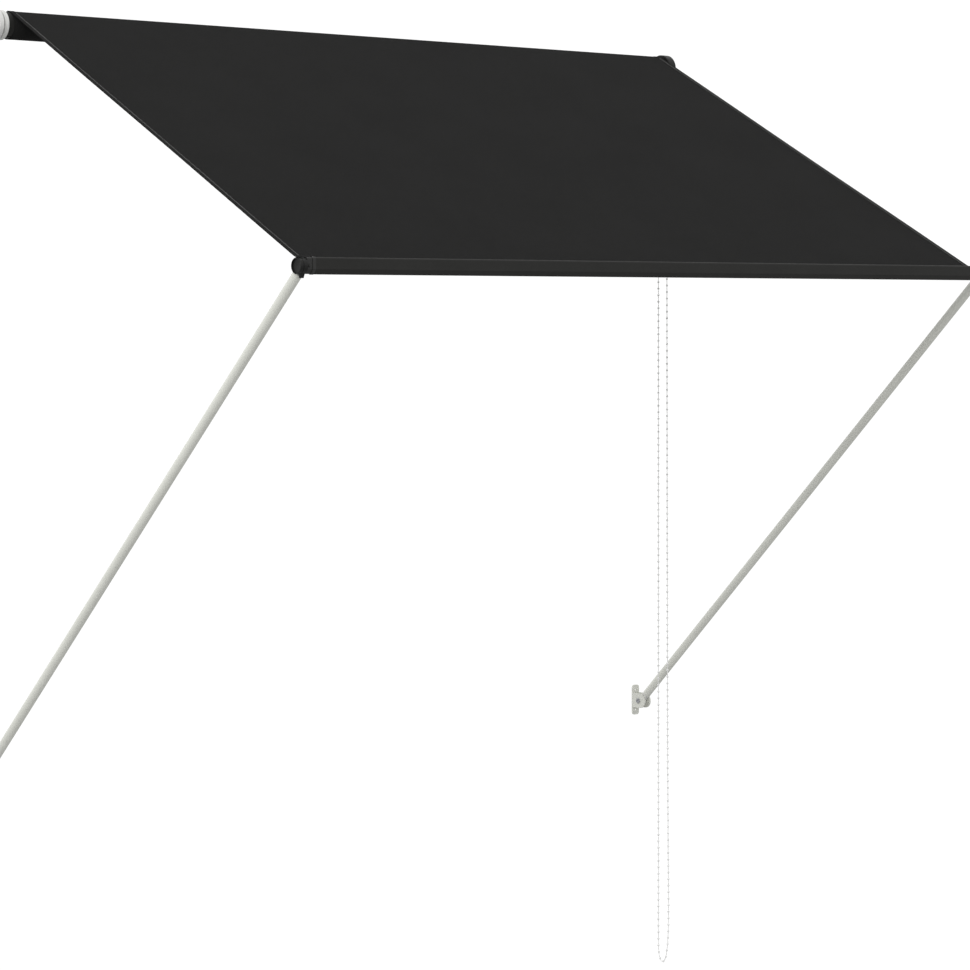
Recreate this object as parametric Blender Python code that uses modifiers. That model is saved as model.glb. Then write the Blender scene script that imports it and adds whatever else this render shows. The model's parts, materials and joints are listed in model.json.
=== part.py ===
"""Canvas awning on two drop arms: roller on wall brackets, cloth, front bar, arms and a bead chain.

Frame: +Z up, +X along the wall to the right, the wall is the plane Y = 0 and the awning stands out along -Y.
The origin is the middle of the left roller bracket's wall face, at the height of the roller's axis.
"""

import math

import bmesh
import bpy
from mathutils import Matrix, Vector

MM = 0.001
GAP = 0.3 * MM  # kept between pieces that touch

# Whole awning
SPAN = 1500 * MM  # clear width between the side plates of the roller brackets
ROLLER_OUT = 107.5 * MM  # roller axis to wall
PIVOT_OUT = 19.1 * MM  # arm pivot to wall
PIVOT_DROP = 1222.2 * MM  # arm pivot below the roller's axis
ARM_LENGTH = 1197 * MM  # pivot to pivot
ARM_LEAN = math.radians(46.5)  # arm from upright, with the cloth fully out

# Roller brackets
SHEET = 3 * MM
FLANGE_WIDE = 34 * MM
FLANGE_HIGH = 57 * MM
BRACKET_HOLES = 39 * MM  # screw hole to screw hole, on all four brackets
SCREW_HOLE_R = 2.6 * MM
BRACKET_NOSE_R = 22 * MM
LEFT_PLATE = FLANGE_WIDE / 2  # inner face of the left side plate
RIGHT_PLATE = LEFT_PLATE + SPAN

# Roller
AXLE_R = 4 * MM
BORE_R = 4.2 * MM
TUBE_R = 22 * MM
TUBE_WALL = 1.5 * MM
TUBE_FROM = LEFT_PLATE + 19.5 * MM
TUBE_TO = RIGHT_PLATE - 20 * MM
ROLL_R = 23.3 * MM
PLUG_R = TUBE_R - TUBE_WALL - 0.4 * MM
WELT_R = 2 * MM
WELT_BORE_R = 2.6 * MM
WELT_WALL = 1.4 * MM
WELT_MOUTH = 1.6 * MM
ROLLER_WELT_AT = 17.4 * MM  # middle of the roller's welt groove from the axis
ROLLER_WELT_ANGLE = math.radians(-60)
HEX_R = 7 * MM  # corner radius of the hexagon that drives the right plug

# Bead chain and its wheel
CHAIN_X = RIGHT_PLATE - 10.5 * MM  # middle plane of wheel and chain
BEAD_R = 2.25 * MM
BEAD_PITCH = 12.5 * MM
WHEEL_POCKETS = 6
WHEEL_PITCH_R = WHEEL_POCKETS * BEAD_PITCH / (2 * math.pi)
WHEEL_R = 13.2 * MM
WHEEL_WIDE = 8.6 * MM
HOUSING_R = 27 * MM
HOUSING_WALL = 2 * MM
HOUSING_MOUTH = 35 * MM
HOUSING_DEEP = 15.9 * MM  # side plate to the housing's rim

# Arms
ARM_X = 44.8 * MM  # middle plane of an arm inside the left side plate
ARM_OVER = 16.4 * MM  # middle plane of the other arm outside the right side plate
ARM_R = 7.5 * MM
ARM_WALL = 1.5 * MM
STEM_R = 5.6 * MM
TOP_CLEAR = 12.6 * MM  # arm tube's upper end to the bar's axis
LOW_CLEAR = 20 * MM  # arm tube's lower end to the pivot
EYE_R = 12 * MM
EYE_ROOT = math.radians(16)  # half the nose's width where it leaves the disc
EYE_NOSE = 17.7 * MM  # bolt's axis to the tip of the eye's nose
EYE_TIP = math.radians(2.2)  # half the tip's width, seen from the bolt
EYE_NECK = 5 * MM  # half height of the neck
STEM_LENGTH = 31 * MM
KNUCKLE_R = 8.5 * MM
KNUCKLE_NECK = 5.2 * MM  # half height of the neck
PIN_R = 3 * MM
PIN_HOLE_R = 3.2 * MM

# Arm brackets
FOOT_WIDE = 17 * MM
FOOT_HIGH = 58 * MM
FOOT_THICK = 3 * MM
FOOT_HOLE_R = 2.2 * MM
CHEEK = 3 * MM
CHEEK_NOSE_R = 14 * MM
CHEEK_NOSE_OUT = 22.5 * MM  # middle of the cheeks' round nose to the wall
RIVET_HEAD_R = 5 * MM

# Front bar: u is measured forwards from its axis and v upwards
BAR_OUTLINE = (  # u, v, corner radius in mm
    (8.5, 12.65, 2.5),
    (-2.5, 12.65, 3.0),
    (-8.5, 6.0, 3.0),
    (-7.5, -9.0, 3.0),
    (2.0, -12.65, 2.0),
    (8.5, -5.0, 2.0),
)
BAR_WALL = 1.4 * MM
BAR_WELT = (4.5 * MM, 8.6 * MM)  # middle of the bar's welt groove
HUB_IN = 12.5 * MM  # hub's outer face outside the arm's middle plane
HUB_THICK = 6 * MM
EYE_FROM = HUB_THICK + GAP
EYE_TO = 13.7 * MM
SLEEVE_FROM = EYE_TO + 0.5 * MM
COLLAR_FROM = 24 * MM
BAR_FROM = 30 * MM
INSERT_TO = 50 * MM

# Cloth
CLOTH = 0.8 * MM
CLOTH_LEFT = LEFT_PLATE + 30 * MM
CLOTH_RIGHT = RIGHT_PLATE - 22.4 * MM
CLOTH_LINE_R = ROLL_R + GAP + CLOTH / 2  # the cloth's middle line leaves the roll at this radius
CORNER_CUT = 9.2 * MM  # cloth over the left hub stops this far short of the welt

LEFT_ARM_X = LEFT_PLATE + ARM_X
RIGHT_ARM_X = RIGHT_PLATE + ARM_OVER
LEFT_HUB_X = LEFT_ARM_X - HUB_IN
RIGHT_HUB_X = RIGHT_ARM_X + HUB_IN
BAR_Y = -PIVOT_OUT - ARM_LENGTH * math.sin(ARM_LEAN)
BAR_Z = -PIVOT_DROP + ARM_LENGTH * math.cos(ARM_LEAN)
PIVOT_Z = -PIVOT_DROP

WHITE = ("white_paint", (0.62, 0.63, 0.60), 0.38, 0.0)
WHITE_PLASTIC = ("white_plastic", (0.72, 0.73, 0.70), 0.45, 0.0)
DARK_PAINT = ("dark_paint", (0.030, 0.030, 0.029), 0.42, 0.0)
DARK_PLASTIC = ("dark_plastic", (0.018, 0.018, 0.018), 0.40, 0.0)
STEEL = ("steel", (0.45, 0.45, 0.46), 0.30, 1.0)
CANVAS = ("canvas", (0.024, 0.024, 0.024), 0.90, 0.0)
CHAIN_PLASTIC = ("chain_plastic", (0.80, 0.80, 0.78), 0.35, 0.0)


# Scene, materials and objects


def clear_scene():
    for obj in list(bpy.data.objects):
        bpy.data.objects.remove(obj, do_unlink=True)


def collection(name):
    made = bpy.data.collections.new(name)
    bpy.context.scene.collection.children.link(made)
    return made


def material(look):
    name, colour, roughness, metallic = look
    found = bpy.data.materials.get(name)
    if found:
        return found
    made = bpy.data.materials.new(name)
    made.use_nodes = True
    shader = made.node_tree.nodes["Principled BSDF"]
    shader.inputs["Base Color"].default_value = (*colour, 1.0)
    shader.inputs["Roughness"].default_value = roughness
    shader.inputs["Metallic"].default_value = metallic
    return made


def add_object(name, data, matrix, look=None):
    """Puts a mesh or curve into the scene, at matrix. Without a look it is a cutter."""
    obj = bpy.data.objects.new(name, data)
    obj.matrix_world = matrix
    (PARTS if look else CUTTERS).objects.link(obj)
    if look:
        data.materials.append(material(look))
    else:
        obj.hide_render = True
        obj.display_type = "WIRE"
    return obj


def along_x(x, y, z):
    """Local Z runs along the wall, for turned pieces."""
    return Matrix.Translation((x, y, z)) @ Matrix.Rotation(math.radians(90), 4, "Y")


def side_view(x, y, z, turn=0.0):
    """Local X points away from the wall and local Y up, for outlines that are extruded along the wall."""
    axes = Matrix(((0, 0, -1), (-1, 0, 0), (0, 1, 0))).to_4x4()
    return Matrix.Translation((x, y, z)) @ axes @ Matrix.Rotation(turn, 4, "Z")


def along_arm(x):
    """Local Z runs up an arm from its pivot on the wall."""
    return Matrix.Translation((x, -PIVOT_OUT, PIVOT_Z)) @ Matrix.Rotation(ARM_LEAN, 4, "X")


# Shapes


def smooth(mesh):
    mesh.shade_smooth()
    mesh.set_sharp_from_angle(angle=math.radians(32))


def turned(name, profile, matrix, look=None, closed=False, steps=32):
    """A profile of (radius, height) turned about local Z. Its outer side runs from high to low."""
    mesh = bpy.data.meshes.new(name)
    edges = [(i, i + 1) for i in range(len(profile) - 1)]
    if closed:
        edges.append((len(profile) - 1, 0))
    mesh.from_pydata([(radius, 0.0, height) for radius, height in profile], edges, [])
    obj = add_object(name, mesh, matrix, look)
    screw = obj.modifiers.new("turn", "SCREW")
    screw.steps = steps
    screw.render_steps = steps
    screw.use_merge_vertices = True
    screw.merge_threshold = 0.00001
    return obj


def rod(name, radius, low, high, matrix, look=None, steps=32):
    """A solid round bar along local Z, from low to high."""
    return turned(name, [(0, high), (radius, high), (radius, low), (0, low)], matrix, look, steps=steps)


def pipe(name, inner, outer, low, high, matrix, look=None, steps=32):
    profile = [(inner, high), (outer, high), (outer, low), (inner, low)]
    return turned(name, profile, matrix, look, closed=True, steps=steps)


def slab(name, outline, thickness, matrix, look=None):
    """A flat outline extruded along local Z, half its thickness each way, as a mesh."""
    curve = bpy.data.curves.new(name, "CURVE")
    curve.dimensions = "2D"
    curve.fill_mode = "BOTH"
    curve.extrude = thickness / 2
    spline = curve.splines.new("POLY")
    spline.points.add(len(outline) - 1)
    for point, (x, y) in zip(spline.points, outline):
        point.co = (x, y, 0, 1)
    spline.use_cyclic_u = True
    drawn = bpy.data.objects.new(name, curve)
    CUTTERS.objects.link(drawn)
    graph = bpy.context.evaluated_depsgraph_get()
    mesh = bpy.data.meshes.new_from_object(drawn.evaluated_get(graph))
    bpy.data.objects.remove(drawn, do_unlink=True)
    shape = bmesh.new()
    shape.from_mesh(mesh)
    bmesh.ops.remove_doubles(shape, verts=shape.verts, dist=0.000001)
    bmesh.ops.recalc_face_normals(shape, faces=shape.faces)
    shape.to_mesh(mesh)
    shape.free()
    return add_object(name, mesh, matrix, look)


def prism(name, outline, left, right, y, z, look=None, turn=0.0):
    """An outline in side view, extruded along the wall from left to right."""
    left, right = sorted((left, right))
    return slab(name, outline, right - left, side_view((left + right) / 2, y, z, turn), look)


def box(name, low, high, look=None):
    """A box between two corners."""
    low, high = Vector(low), Vector(high)
    shape = bmesh.new()
    bmesh.ops.create_cube(shape, size=1.0)
    bmesh.ops.scale(shape, vec=high - low, verts=shape.verts)
    bmesh.ops.translate(shape, vec=(low + high) / 2, verts=shape.verts)
    mesh = bpy.data.meshes.new(name)
    shape.to_mesh(mesh)
    shape.free()
    return add_object(name, mesh, Matrix.Identity(4), look)


def boolean(obj, operation, others):
    for other in others:
        step = obj.modifiers.new(f"{operation.lower()}_{other.name}", "BOOLEAN")
        step.operation = operation
        step.solver = "EXACT"
        step.object = other
    return obj


def cut(obj, *others):
    return boolean(obj, "DIFFERENCE", others)


def join(obj, *others):
    return boolean(obj, "UNION", others)


# Outlines


def arc(radius, start, end, steps, centre=(0.0, 0.0)):
    angles = [start + (end - start) * i / steps for i in range(steps + 1)]
    return [(centre[0] + radius * math.cos(a), centre[1] + radius * math.sin(a)) for a in angles]


def circle(radius, steps=24, centre=(0.0, 0.0)):
    return arc(radius, 0, 2 * math.pi, steps, centre)[:-1]


def rounded(corners, steps=3, grow=0.0):
    """Corners (x, y, radius) as an outline with round corners, moved outwards by grow."""
    points = [Vector(corner[:2]) for corner in corners]
    turning = sum(points[i - 1].cross(points[i]) for i in range(len(points)))
    outline = []
    for i, point in enumerate(points):
        before = (point - points[i - 1]).normalized()
        after = (points[(i + 1) % len(points)] - point).normalized()
        out = [Vector((d.y, -d.x)) * math.copysign(1, turning) for d in (before, after)]
        half = before.angle(after) / 2
        centre = point - (out[0] + out[1]).normalized() * corners[i][2] / math.cos(half)
        start = math.atan2(out[0].y, out[0].x)
        turn = math.atan2(out[0].cross(out[1]), out[0].dot(out[1]))
        outline += arc(corners[i][2] + grow, start, start + turn, steps, centre)
    return outline


def rounded_box(wide, high, radius):
    corners = ((wide / 2, high / 2), (-wide / 2, high / 2), (-wide / 2, -high / 2), (wide / 2, -high / 2))
    return rounded([(x, y, radius) for x, y in corners])


def keyhole(radius, half, length):
    """A disc with a neck of twice the half width that runs to length along local X."""
    gap = math.asin(half / radius)
    return arc(radius, gap, 2 * math.pi - gap, 20) + [(length, -half), (length, half)]


def bar_outline(grow=0.0):
    return rounded([(u * MM, v * MM, r * MM) for u, v, r in BAR_OUTLINE], grow=grow)


def cloth_line():
    """The cloth's middle line in side view: where it leaves the roll, its length to the welt, its slope."""
    welt = Vector((BAR_Y - BAR_WELT[0] + ROLLER_OUT, BAR_Z + BAR_WELT[1]))
    slope = math.atan2(-welt.y, -welt.x) + math.asin(CLOTH_LINE_R / welt.length)
    leaves = CLOTH_LINE_R * Vector((-math.sin(slope), math.cos(slope))) - Vector((ROLLER_OUT, 0))
    return leaves, math.sqrt(welt.length_squared - CLOTH_LINE_R**2), slope


# Roller brackets and axles


def roller_bracket(side, inner, outward):
    """A bent sheet: the flange on the wall points away from the awning, the side plate holds the axle."""
    name = f"{side}_roller_bracket"
    half = FLANGE_HIGH / 2
    middle = inner + outward * FLANGE_WIDE / 2
    plate = [(SHEET / 2, half), (SHEET / 2, -half)]
    plate += arc(BRACKET_NOSE_R, -math.pi / 2, math.pi / 2, 14, (ROLLER_OUT, 0.0))
    shape = prism(name, plate, inner, inner + outward * SHEET, 0, 0, WHITE)
    wall_view = Matrix.Translation((middle, -SHEET / 2, 0)) @ Matrix.Rotation(math.pi / 2, 4, "X")
    outline = rounded_box(FLANGE_WIDE, FLANGE_HIGH, 0.8 * MM)
    join(shape, slab(name + "_flange", outline, SHEET, wall_view))
    for level in (-1, 1):
        at = wall_view @ Matrix.Translation((0, level * BRACKET_HOLES / 2, 0))
        cut(shape, rod(f"{name}_hole_{level}", SCREW_HOLE_R, -SHEET, SHEET, at, steps=16))
    axle = along_x(inner, -ROLLER_OUT, 0)
    cut(shape, rod(name + "_axle_hole", BORE_R + GAP, -2 * SHEET, 2 * SHEET, axle, steps=24))


def axle_pin(side, inner, outward, reach):
    """The roller turns on this pin. Its head is outside the side plate."""
    head = SHEET + GAP
    profile = [(0, -reach), (AXLE_R, -reach), (AXLE_R, head), (7 * MM, head), (7 * MM, head + 2 * MM)]
    profile += [(6 * MM, head + 3 * MM), (0, head + 3 * MM)]
    if outward < 0:
        profile = [(radius, -height) for radius, height in profile]
    else:
        profile.reverse()
    turned(f"{side}_axle_pin", profile, along_x(inner, -ROLLER_OUT, 0), STEEL, steps=24)


def bearing_cup():
    """The round cover that stands on the left side plate around the axle."""
    profile = [
        (BORE_R, 11.5 * MM),
        (22 * MM, 11.5 * MM),
        (22 * MM, 10 * MM),
        (25.5 * MM, 9 * MM),
        (25.5 * MM, 1.5 * MM),
        (24.3 * MM, GAP),
        (BORE_R, GAP),
    ]
    axis = along_x(LEFT_PLATE, -ROLLER_OUT, 0)
    turned("left_bearing_cup", profile, axis, WHITE_PLASTIC, closed=True, steps=36)


# Roller


def welt_groove(name, at, radius, mouth_angle, mouth, left, right, origin):
    """Cutters of a round groove along the wall and of its mouth, in side view."""
    bore = prism(name + "_bore", circle(radius, 16, at), left, right, *origin)
    slot = [(0.0, -mouth / 2), (20 * MM, -mouth / 2), (20 * MM, mouth / 2), (0.0, mouth / 2)]
    turned_slot = [Vector(at) + Matrix.Rotation(mouth_angle, 2) @ Vector(corner) for corner in slot]
    return bore, prism(name + "_mouth", [tuple(c) for c in turned_slot], left, right, *origin)


def roller():
    origin = (-ROLLER_OUT, 0.0)
    axis = along_x(0, *origin)
    groove = Matrix.Rotation(ROLLER_WELT_ANGLE, 2) @ Vector((ROLLER_WELT_AT, 0))
    ends = (TUBE_FROM - 5 * MM, TUBE_TO + 5 * MM)
    tube = pipe("roller_tube", TUBE_R - TUBE_WALL, TUBE_R, TUBE_FROM, TUBE_TO, axis, DARK_PAINT, steps=40)
    wall = circle(WELT_BORE_R + WELT_WALL, 16, groove)
    join(tube, prism("roller_tube_groove_wall", wall, TUBE_FROM, TUBE_TO, *origin))
    cut(tube, *welt_groove("roller_tube", groove, WELT_BORE_R, ROLLER_WELT_ANGLE, WELT_MOUTH, *ends, origin))
    prism("roller_welt", circle(WELT_R, 12, groove), CLOTH_LEFT, CLOTH_RIGHT, *origin, DARK_PLASTIC)
    pipe("fabric_roll", TUBE_R + GAP, ROLL_R, CLOTH_LEFT, CLOTH_RIGHT, axis, CANVAS, steps=40)
    relief = circle(WELT_BORE_R + WELT_WALL + 0.4 * MM, 16, groove)

    rim = [(24.3, -7.5), (24.3, -5.6), (23.5, -5.2), (23.5, -4.6), (24.3, -4.2), (24.3, -GAP / MM)]
    left = [(BORE_R / MM, -7.5), *rim, (PLUG_R / MM, -GAP / MM), (PLUG_R / MM, 30), (BORE_R / MM, 30)]
    profile = [(radius * MM, height * MM) for radius, height in reversed(left)]
    at = along_x(TUBE_FROM, *origin)
    plug = turned("left_end_plug", profile, at, WHITE_PLASTIC, closed=True, steps=36)
    cut(plug, prism("left_end_plug_relief", relief, TUBE_FROM, TUBE_FROM + 40 * MM, *origin))

    right = [(0, -30), (PLUG_R / MM, -30), (PLUG_R / MM, GAP / MM), (22, GAP / MM), (22, 1.8), (0, 1.8)]
    profile = [(radius * MM, height * MM) for radius, height in reversed(right)]
    plug = turned("right_end_plug", profile, along_x(TUBE_TO, *origin), DARK_PLASTIC, steps=36)
    socket = circle(HEX_R + GAP, 6)
    cut(plug, prism("right_end_plug_relief", relief, TUBE_TO - 40 * MM, TUBE_TO, *origin))
    cut(plug, prism("right_end_plug_socket", socket, TUBE_TO - 40 * MM, TUBE_TO + 5 * MM, *origin))


def chain_wheel():
    """Six pockets take the beads, a groove between them takes the cord, and a hexagon drives the roller."""
    origin = (-ROLLER_OUT, 0.0)
    axis = along_x(CHAIN_X, *origin)
    half = WHEEL_WIDE / 2
    groove = 0.9 * MM
    bottom = WHEEL_PITCH_R - 1.2 * MM
    profile = [(0, half), (WHEEL_R, half), (WHEEL_R, groove), (bottom, groove), (bottom, -groove)]
    profile += [(WHEEL_R, -groove), (WHEEL_R, -half), (0, -half)]
    wheel = turned("chain_wheel", profile, axis, DARK_PLASTIC, steps=36)
    ends = (TUBE_TO - 20 * MM, CHAIN_X - half + MM)
    join(wheel, prism("chain_wheel_hexagon", circle(HEX_R, 6), *ends, *origin))
    for i in range(WHEEL_POCKETS):
        shape = bmesh.new()
        bmesh.ops.create_uvsphere(shape, u_segments=12, v_segments=8, radius=BEAD_R + GAP)
        mesh = bpy.data.meshes.new(f"bead_pocket_{i}")
        shape.to_mesh(mesh)
        shape.free()
        turn = Matrix.Rotation(2 * math.pi * i / WHEEL_POCKETS, 4, "Z")
        place = axis @ turn @ Matrix.Translation((WHEEL_PITCH_R, 0, 0))
        cut(wheel, add_object(mesh.name, mesh, place))
    cut(wheel, rod("chain_wheel_bore", BORE_R, -60 * MM, 20 * MM, axis, steps=24))


def chain_housing():
    """A drum on the right side plate around the chain wheel, open below for the chain, with a cover."""
    axis = along_x(RIGHT_PLATE, -ROLLER_OUT, 0)
    inner = HOUSING_R - HOUSING_WALL
    back = -GAP - HOUSING_WALL
    front = -HOUSING_DEEP
    profile = [(BORE_R, back), (inner, back), (inner, front), (HOUSING_R, front), (HOUSING_R, -MM)]
    profile += [(HOUSING_R - 0.7 * MM, -GAP), (BORE_R, -GAP)]
    shell = turned("chain_housing", list(reversed(profile)), axis, DARK_PLASTIC, closed=True, steps=40)
    low = (CHAIN_X - 20 * MM, -ROLLER_OUT - HOUSING_MOUTH / 2, -2 * HOUSING_R)
    high = (RIGHT_PLATE + back - 0.5 * MM, -ROLLER_OUT + HOUSING_MOUTH / 2, -15 * MM)
    cut(shell, box("chain_housing_mouth", low, high))
    outside = front - 2.1 * MM
    lid = [(9 * MM, front - GAP), (HOUSING_R, front - GAP), (HOUSING_R, front - 1.4 * MM)]
    lid += [(HOUSING_R - 0.7 * MM, outside), (9 * MM, outside)]
    turned("chain_cover", lid, axis, DARK_PLASTIC, closed=True, steps=40)


# Bead chain: (y from the roller's axis, z) in mm, down the front strand and up the back one
CHAIN_ROUTE = (
    (-11.9, -9.5),
    (-11.9, -150),
    (-12.0, -400),
    (-12.4, -700),
    (-13.0, -1000),
    (-14.0, -1300),
    (-15.4, -1500),
    (-16.2, -1600),
    (-15.4, -1655),
    (-12.0, -1688),
    (-6.8, -1707),
    (1.0, -1713.7),
    (8.2, -1706),
    (11.2, -1690),
    (11.8, -1660),
    (11.8, -1560),
    (11.9, -1300),
    (11.9, -900),
    (11.9, -450),
    (11.9, -9.5),
)


def smooth_route(points, per_span):
    """Points on a smooth curve through the given ones, with tangents weighted by the spans' lengths."""
    spans = [(b - a).length for a, b in zip(points, points[1:])]
    slopes = [(b - a) / span for a, b, span in zip(points, points[1:], spans)]
    tangents = [slopes[0]]
    for i in range(1, len(points) - 1):
        tangents.append((slopes[i - 1] * spans[i] + slopes[i] * spans[i - 1]) / (spans[i - 1] + spans[i]))
    tangents.append(slopes[-1])
    route = [points[0]]
    for i, span in enumerate(spans):
        for k in range(1, per_span + 1):
            t = k / per_span
            rise = t * t * (3 - 2 * t)
            leave = t * (1 - t) ** 2 * span
            arrive = t * t * (t - 1) * span
            along = points[i] * (1 - rise) + points[i + 1] * rise
            route.append(along + tangents[i] * leave + tangents[i + 1] * arrive)
    return route


def bead_chain():
    curve = bpy.data.curves.new("bead_chain", "CURVE")
    curve.dimensions = "3D"
    curve.bevel_depth = BEAD_R
    curve.bevel_resolution = 2
    curve.use_fill_caps = True
    route = [Vector((CHAIN_X, -ROLLER_OUT + y * MM, z * MM)) for y, z in CHAIN_ROUTE]
    spline = curve.splines.new("POLY")
    points = smooth_route(route, 4)
    spline.points.add(len(points) - 1)
    for point, place in zip(spline.points, points):
        point.co = (*place, 1)
    add_object("bead_chain", curve, Matrix.Identity(4), CHAIN_PLASTIC)


# Arms


def arm_bracket(side, x):
    """A foot plate on the wall with two cheeks that hold the arm's knuckle."""
    name = f"{side}_arm_bracket"
    wall_view = Matrix.Translation((x, -FOOT_THICK / 2, PIVOT_Z)) @ Matrix.Rotation(math.pi / 2, 4, "X")
    foot = slab(name, rounded_box(FOOT_WIDE, FOOT_HIGH, 5 * MM), FOOT_THICK, wall_view, WHITE)
    for level in (-1, 1):
        at = wall_view @ Matrix.Translation((0, level * BRACKET_HOLES / 2, 0))
        cut(foot, rod(f"{name}_hole_{level}", FOOT_HOLE_R, -2 * FOOT_THICK, 2 * FOOT_THICK, at, steps=16))
    cheek = [(FOOT_THICK / 2, CHEEK_NOSE_R), (FOOT_THICK / 2, -CHEEK_NOSE_R)]
    cheek += arc(CHEEK_NOSE_R, -math.pi / 2, math.pi / 2, 14, (CHEEK_NOSE_OUT, 0.0))
    for hand in (-1, 1):
        outer = x + hand * FOOT_WIDE / 2
        ends = (outer - hand * 0.05 * MM, outer - hand * CHEEK)
        join(foot, prism(f"{name}_cheek_{hand}", cheek, *ends, 0, PIVOT_Z))
    axis = along_x(x, -PIVOT_OUT, PIVOT_Z)
    cut(foot, rod(name + "_pin_hole", PIN_HOLE_R, -FOOT_WIDE, FOOT_WIDE, axis, steps=20))


def pivot_rivet(side, x):
    """A rivet through both cheeks and the knuckle, with a domed head and a dished one."""
    half = FOOT_WIDE / 2 + GAP
    top = half + 2 * MM
    profile = [(0, top), (3.6 * MM, top), (RIVET_HEAD_R, half + MM), (RIVET_HEAD_R, half)]
    profile += [(PIN_R, half), (PIN_R, -half), (RIVET_HEAD_R, -half), (RIVET_HEAD_R, -half - MM)]
    profile += [(4.2 * MM, -top), (2.4 * MM, -top), (2 * MM, MM - top), (0, MM - top)]
    turned(f"{side}_pivot_rivet", profile, along_x(x, -PIVOT_OUT, PIVOT_Z), STEEL, steps=20)


def arm(side, x, hand):
    """hand is +1 where the awning's middle is towards +X."""
    frame = along_arm(x)
    ends = (LOW_CLEAR, ARM_LENGTH - TOP_CLEAR)
    pipe(f"{side}_arm_tube", ARM_R - ARM_WALL, ARM_R, *ends, frame, WHITE, steps=24)

    half = FOOT_WIDE / 2 - CHEEK - 0.5 * MM
    turn = math.pi / 2 - ARM_LEAN
    name = f"{side}_arm_knuckle"
    outline = keyhole(KNUCKLE_R, KNUCKLE_NECK, LOW_CLEAR - GAP)
    knuckle = prism(name, outline, x - half, x + half, -PIVOT_OUT, PIVOT_Z, WHITE_PLASTIC, turn)
    stem_low = LOW_CLEAR - 3 * MM
    join(knuckle, rod(name + "_stem", STEM_R, stem_low, stem_low + STEM_LENGTH, frame, steps=20))
    pin = along_x(x, -PIVOT_OUT, PIVOT_Z)
    cut(knuckle, rod(name + "_hole", PIN_HOLE_R, -FOOT_WIDE, FOOT_WIDE, pin, steps=20))

    name = f"{side}_arm_eye"
    hub = x - hand * HUB_IN
    turn = -math.pi / 2 - ARM_LEAN
    ends = (hub + hand * EYE_FROM, hub + hand * EYE_TO)
    eye = prism(name, eye_outline(), *ends, BAR_Y, BAR_Z, DARK_PLASTIC, turn)
    stem_top = ARM_LENGTH - TOP_CLEAR + 0.5 * MM
    join(eye, rod(name + "_stem", STEM_R, stem_top - STEM_LENGTH, stem_top, frame, steps=20))
    cut(eye, rod(name + "_hole", PIN_HOLE_R, -30 * MM, 30 * MM, along_x(x, BAR_Y, BAR_Z), steps=20))


def eye_outline():
    """The eye around the bolt: a disc, a short neck along the arm, and a nose that hangs straight down."""
    neck = TOP_CLEAR - 0.2 * MM
    side = math.asin(EYE_NECK / EYE_R)
    heel = arc(EYE_R, side, ARM_LEAN - EYE_ROOT, 1)
    nose = arc(EYE_NOSE, ARM_LEAN - EYE_TIP, ARM_LEAN + EYE_TIP, 2)
    disc = arc(EYE_R, ARM_LEAN + EYE_ROOT, 2 * math.pi - side, 18)
    return [(neck, -EYE_NECK), (neck, EYE_NECK), *heel, *nose, *disc]


# Front bar


def groove_web(reach, half):
    """The strip that joins the wall of the bar's welt groove to the bar's skin, in side view."""
    away = Matrix.Rotation(math.pi - cloth_line()[2], 2)
    corners = [(0.0, -half), (reach, -half), (reach, half), (0.0, half)]
    return [tuple(Vector(BAR_WELT) + away @ Vector(corner)) for corner in corners]


def front_bar():
    origin = (BAR_Y, BAR_Z)
    left = LEFT_HUB_X + BAR_FROM
    right = RIGHT_HUB_X - BAR_FROM
    beyond = (left - 20 * MM, right + 20 * MM)
    bar = prism("front_bar", bar_outline(), left, right, *origin, DARK_PAINT)
    hollow = prism("bar_hollow", bar_outline(-BAR_WALL), left - 10 * MM, right + 10 * MM, *origin)
    wall = prism("bar_groove_wall", circle(WELT_BORE_R + WELT_WALL, 20, BAR_WELT), *beyond, *origin)
    cut(hollow, wall, prism("bar_groove_web", groove_web(12 * MM, 2.2 * MM), *beyond, *origin))
    cut(bar, hollow)
    away = math.pi - cloth_line()[2]
    cut(bar, *welt_groove("bar_groove", BAR_WELT, WELT_BORE_R, away, WELT_MOUTH, *beyond, origin))
    prism("front_welt", circle(WELT_R, 12, BAR_WELT), left + MM, right - MM, *origin, DARK_PLASTIC)


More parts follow.
